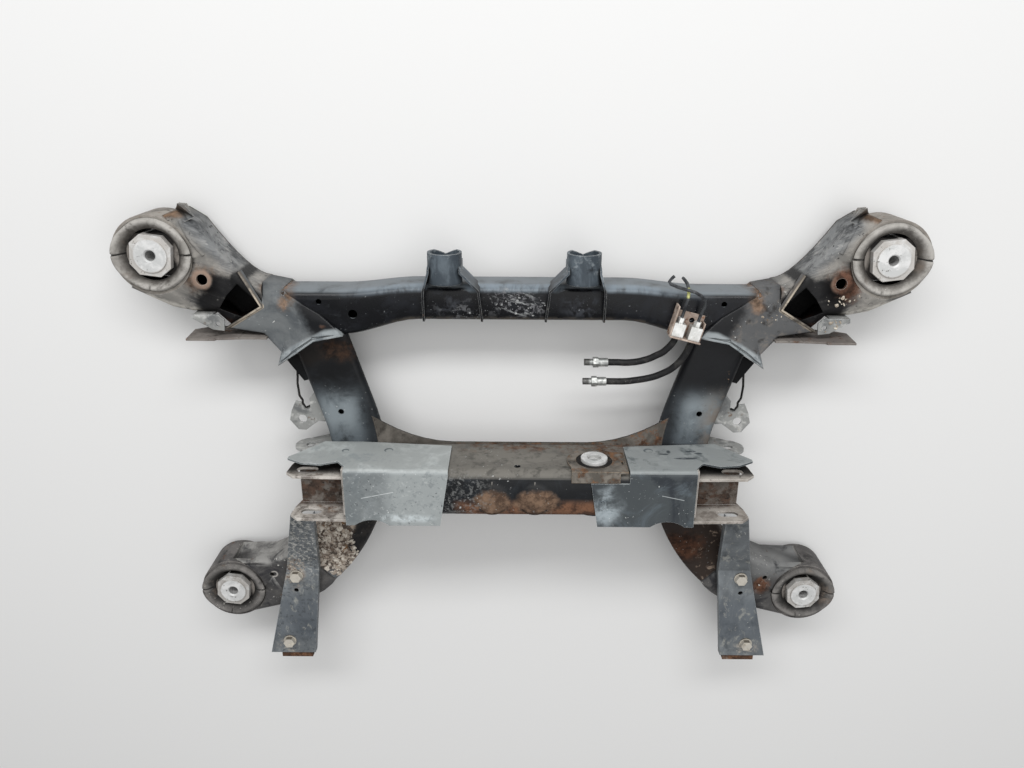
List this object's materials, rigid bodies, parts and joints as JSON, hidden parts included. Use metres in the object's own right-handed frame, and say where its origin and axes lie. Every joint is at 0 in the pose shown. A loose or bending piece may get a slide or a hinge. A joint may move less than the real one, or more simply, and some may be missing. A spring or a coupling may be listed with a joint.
{
  "type": "rear axle subframe",
  "caption": "Welded sheet-steel rear subframe for a car, with rubber body bushes, link brackets, differential mounts, struts and two brake hoses.",
  "frame": {"origin": "middle of the footprint, on the plane of the four bush cores that meet the body", "axes": "+X across the car to the right of the picture, +Y along the car toward the cross tube, +Z away from the body, toward the road"},
  "size_m": [1.164, 0.755, 0.179],
  "materials": {
    "black_paint": "worn satin black paint with dust",
    "weathered_paint": "weathered grey-brown paint with rust at the welds",
    "collar_grey": "matte blue-grey worn paint",
    "galvanised": "dull galvanised sheet with stains",
    "dusty_bracket": "dusty beige paint with rust inside",
    "rusty_steel": "rusty steel",
    "zinc": "zinc plated, dulled",
    "rubber": "dusty black rubber",
    "aluminium": "bare aluminium",
    "black_wire": "black coated wire"
  },
  "bodies": {
    "root": {"cross_tube": "black_paint", "left_arm": "weathered_paint", "right_arm": "weathered_paint", "left_arm_back": "weathered_paint", "right_arm_back": "weathered_paint", "left_collar": "collar_grey", "right_collar": "collar_grey", "left_side_member": "black_paint", "right_side_member": "black_paint", "left_rear_arm": "weathered_paint", "right_rear_arm": "weathered_paint", "front_eyes": "weathered_paint", "rear_eyes": "weathered_paint", "crossmember": "black_paint", "crossmember_back": "weathered_paint", "left_bracket_plate": "galvanised", "right_bracket_plate": "galvanised", "left_clevis": "dusty_bracket", "right_clevis": "dusty_bracket", "left_strut": "collar_grey", "right_strut": "collar_grey", "strut_feet": "rusty_steel", "strut_spacers": "rusty_steel", "strut_bolts": "zinc", "strut_nuts": "rusty_steel", "left_shelf_plate": "weathered_paint", "right_shelf_plate": "weathered_paint", "left_arm_tab": "galvanised", "right_arm_tab": "galvanised", "left_cable_tab": "galvanised", "right_cable_tab": "galvanised", "left_link_ear": "galvanised", "right_link_ear": "galvanised", "left_wire_clip": "black_wire", "right_wire_clip": "black_wire", "left_saddle": "black_paint", "right_saddle": "black_paint", "left_diff_sleeve": "black_paint", "right_diff_sleeve": "black_paint", "diff_plate": "weathered_paint", "diff_ring": "rubber", "diff_core": "aluminium", "front_left_bush_sleeve": "weathered_paint", "front_left_bush_rubber": "rubber", "front_left_bush_core": "aluminium", "front_right_bush_sleeve": "weathered_paint", "front_right_bush_rubber": "rubber", "front_right_bush_core": "aluminium", "rear_left_bush_sleeve": "weathered_paint", "rear_left_bush_rubber": "rubber", "rear_left_bush_core": "aluminium", "rear_right_bush_sleeve": "weathered_paint", "rear_right_bush_rubber": "rubber", "rear_right_bush_core": "aluminium", "hose_bracket": "dusty_bracket", "hose_ends": "zinc", "brake_pipes": "zinc", "upper_hose": "rubber", "lower_hose": "rubber", "hose_fittings": "zinc"}
  },
  "joints": []
}
